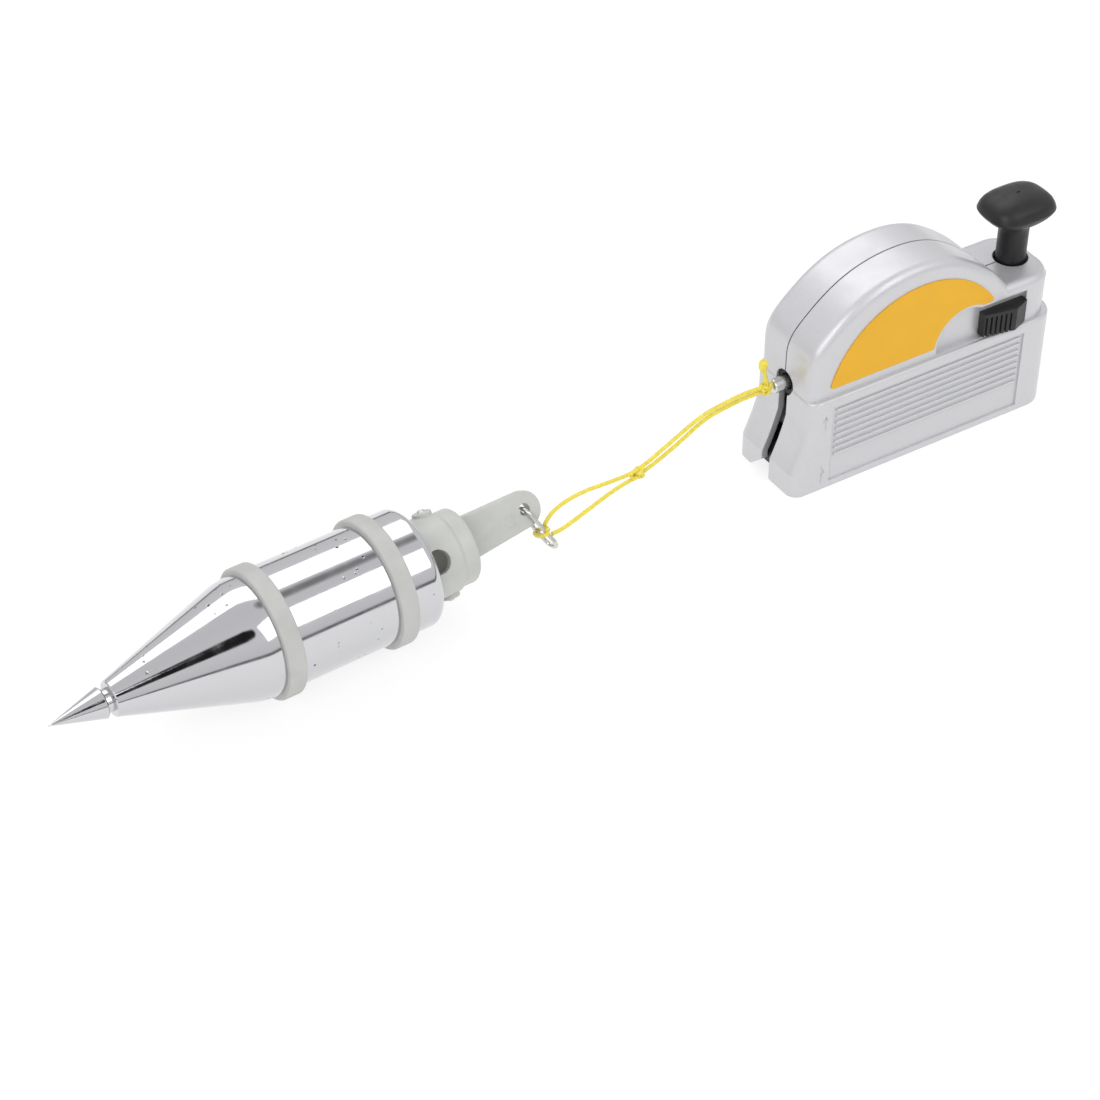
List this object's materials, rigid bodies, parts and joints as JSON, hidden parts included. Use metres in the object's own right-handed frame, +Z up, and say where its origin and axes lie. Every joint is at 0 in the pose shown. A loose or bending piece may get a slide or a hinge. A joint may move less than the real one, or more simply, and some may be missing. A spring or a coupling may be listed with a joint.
{
  "type": "plumb bob with line reel setter",
  "caption": "Chromed quick-stabilising plumb bob on a yellow cord, joined to its hand-held line reel setter with a push pin, magnet foot and line lock.",
  "frame": {"origin": "centre of the setter's magnet foot, on the surface it stands on", "axes": "+Z up from the foot, +X from the bob's tip towards the back of the setter, -Y the label side"},
  "size_m": [0.3016, 0.0369, 0.0636],
  "materials": {
    "case_grey": "satin",
    "label_yellow": "satin",
    "knob_black": "satin",
    "trim_black": "matte",
    "cap_grey": "satin",
    "band_grey": "matte",
    "bob_chrome": "polished",
    "plated_steel": "satin",
    "spring_steel": "satin",
    "magnet_steel": "matte",
    "pole_steel": "satin",
    "bush_brass": "satin",
    "ferrule_metal": "satin",
    "spool_white": "satin",
    "washer_white": "satin",
    "brake_rubber": "matte",
    "cord_yellow": "matte"
  },
  "bodies": {
    "case": {"front_shell": "case_grey", "rear_shell": "case_grey", "label_plate": "label_yellow", "case_screws": "plated_steel", "reel_axle": "plated_steel", "reel_washers": "washer_white", "line_lead": "cord_yellow", "drawn_line": "cord_yellow", "nose_guide": "trim_black", "magnets": "magnet_steel", "pole_plates": "pole_steel", "foot_bush": "bush_brass", "plunger_bush": "trim_black", "detent_spring": "plated_steel", "return_spring": "plated_steel"},
    "reel": {"spool": "spool_white", "spool_cover": "spool_white", "mainspring": "spring_steel", "wound_line": "cord_yellow"},
    "plunger": {"push_knob": "knob_black", "plunger_clip": "plated_steel", "pin_holder": "plated_steel", "needle_pin": "plated_steel"},
    "lock": {"lock_slider": "knob_black", "slider_plate": "trim_black", "brake_shoe": "brake_rubber"},
    "leader": {"line_ferrule": "ferrule_metal", "nose_knot": "cord_yellow", "cord_upper": "cord_yellow", "cord_lower": "cord_yellow", "middle_knot": "cord_yellow", "link_hitch": "cord_yellow", "wire_link": "plated_steel"},
    "tongue": {"tongue": "cap_grey"},
    "gimbal": {"gimbal_ring": "cap_grey", "tongue_pin": "plated_steel"},
    "bob": {"bob_body": "bob_chrome", "tip_point": "bob_chrome", "front_band": "band_grey", "rear_band": "band_grey", "cap": "cap_grey", "cap_pins": "plated_steel", "tilt_washers": "washer_white"}
  },
  "joints": [
    {"name": "plunger_push", "type": "slide", "parent": "case", "child": "plunger", "axis": [0, 0, -1], "range_m": [0, 0.01], "stiffness_N_per_m": 400, "springref_m": -0.004, "deforming": ["return_spring"]},
    {"name": "lock_slide", "type": "slide", "parent": "case", "child": "lock", "axis": [-1, 0, 0], "range_m": [0, 0.0058]},
    {"name": "line_pull", "type": "slide", "parent": "case", "child": "leader", "axis": [-1, 0, 0], "range_m": [0, 0.48], "stiffness_N_per_m": 1.5, "springref_m": -1, "deforming": ["drawn_line"]},
    {"name": "reel_turn", "type": "hinge", "parent": "case", "child": "reel", "pos_m": [-0.007, 0, 0.032], "axis": [0, -1, 0], "range_deg": [0, 1440]},
    {"name": "link_swing", "type": "hinge", "parent": "leader", "child": "tongue", "pos_m": [-0.1197, 0.00233, 0.01906], "axis": [0.0434, -0.8279, 0.5592], "range_deg": [-45, 45]},
    {"name": "tongue_tilt", "type": "hinge", "parent": "tongue", "child": "gimbal", "pos_m": [-0.15124, -0.00038, 0.0175], "axis": [0.0434, -0.8279, 0.5592], "range_deg": [-4.6, 11.4]},
    {"name": "bob_tilt", "type": "hinge", "parent": "gimbal", "child": "bob", "pos_m": [-0.14665, -0.00013, 0.0175], "axis": [-0.0293, 0.5584, 0.829], "range_deg": [-9, 9]}
  ],
  "couplings": [
    {"joint": "reel_turn", "follows": "line_pull", "rad_per_m": 52.24}
  ]
}
